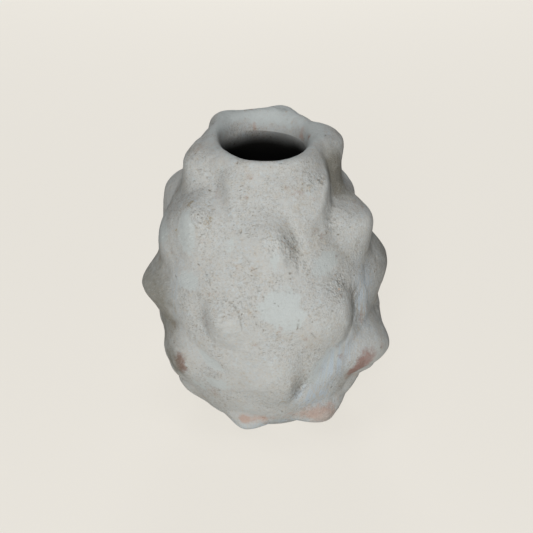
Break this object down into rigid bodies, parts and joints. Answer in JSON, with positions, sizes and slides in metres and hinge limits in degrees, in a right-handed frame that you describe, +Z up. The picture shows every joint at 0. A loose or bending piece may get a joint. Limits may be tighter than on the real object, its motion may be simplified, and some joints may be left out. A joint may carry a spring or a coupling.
{
  "type": "clay pot",
  "caption": "Unglazed hand-built clay jar: flat base, rounded body, narrow open mouth and staggered rows of pressed-on knobs. Stands on its base and holds stems or small dry goods.",
  "frame": {"origin": "middle of the flat underside", "axes": "+Z up out of the mouth, -Y towards the viewer of the picture, +X to that viewer's right"},
  "size_m": [0.1341, 0.1237, 0.1595],
  "materials": {
    "clay_grey": "matte, unglazed, grey-white fired clay",
    "clay_warm": "matte, unglazed clay with a warm blush near the foot"
  },
  "bodies": {
    "root": {"base_pad": "clay_grey", "lower_wall": "clay_grey", "belly_wall": "clay_grey", "shoulder_wall": "clay_grey", "neck_collar": "clay_grey", "lip_coil": "clay_grey", "foot_knob_1": "clay_warm", "foot_knob_2": "clay_warm", "foot_knob_3": "clay_warm", "foot_knob_4": "clay_warm", "foot_knob_5": "clay_warm", "foot_knob_6": "clay_warm", "lower_knob_1": "clay_grey", "lower_knob_2": "clay_grey", "lower_knob_3": "clay_grey", "lower_knob_4": "clay_grey", "lower_knob_5": "clay_grey", "lower_knob_6": "clay_grey", "belly_knob_1": "clay_grey", "belly_knob_2": "clay_grey", "belly_knob_3": "clay_grey", "belly_knob_4": "clay_grey", "belly_knob_5": "clay_grey", "belly_knob_6": "clay_grey", "shoulder_knob_1": "clay_grey", "shoulder_knob_2": "clay_grey", "shoulder_knob_3": "clay_grey", "shoulder_knob_4": "clay_grey", "shoulder_knob_5": "clay_grey", "shoulder_knob_6": "clay_grey", "neck_knob_1": "clay_grey", "neck_knob_2": "clay_grey", "neck_knob_3": "clay_grey", "neck_knob_4": "clay_grey", "neck_knob_5": "clay_grey", "neck_knob_6": "clay_grey"}
  },
  "joints": []
}
